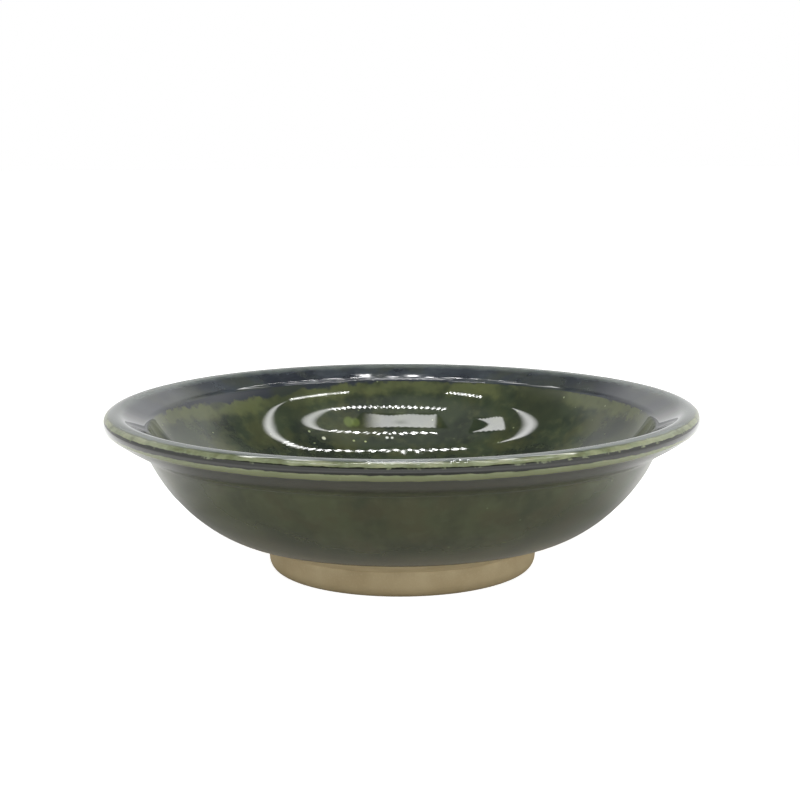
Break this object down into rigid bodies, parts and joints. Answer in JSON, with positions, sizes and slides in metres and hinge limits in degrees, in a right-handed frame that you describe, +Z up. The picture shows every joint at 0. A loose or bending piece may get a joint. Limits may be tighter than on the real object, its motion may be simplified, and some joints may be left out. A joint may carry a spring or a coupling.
{
  "type": "soy sauce dish",
  "caption": "Small round stoneware dish with a flared, banded lip on a bare turned foot ring, glazed dark green, that holds a pool of soy sauce for dipping.",
  "frame": {"origin": "centre of the circle that the foot ring stands on, on the table", "axes": "+Z up along the dish's axis of turning; X and Y lie in the table, and the dish is the same all the way round"},
  "size_m": [0.105, 0.105, 0.029],
  "materials": {
    "stoneware_body": "buff stoneware clay, fired, bare under the dish and in a strip round the foot",
    "bare_foot": "bare buff stoneware, turned and wiped clean of glaze, fine sandy grain",
    "green_glaze": "glossy dark green glaze with olive mottling",
    "grey_blue_glaze": "glossy dark grey-blue glaze",
    "breaking_glaze": "glossy green glaze that thins to yellow-green over the edge, with dark pits",
    "dark_green_glaze": "glossy dark olive-green glaze"
  },
  "bodies": {
    "root": {"bowl": "stoneware_body", "foot_ring": "bare_foot", "inner_glaze": "green_glaze", "band_glaze": "grey_blue_glaze", "lip_glaze": "breaking_glaze", "outer_glaze": "dark_green_glaze"}
  },
  "joints": []
}
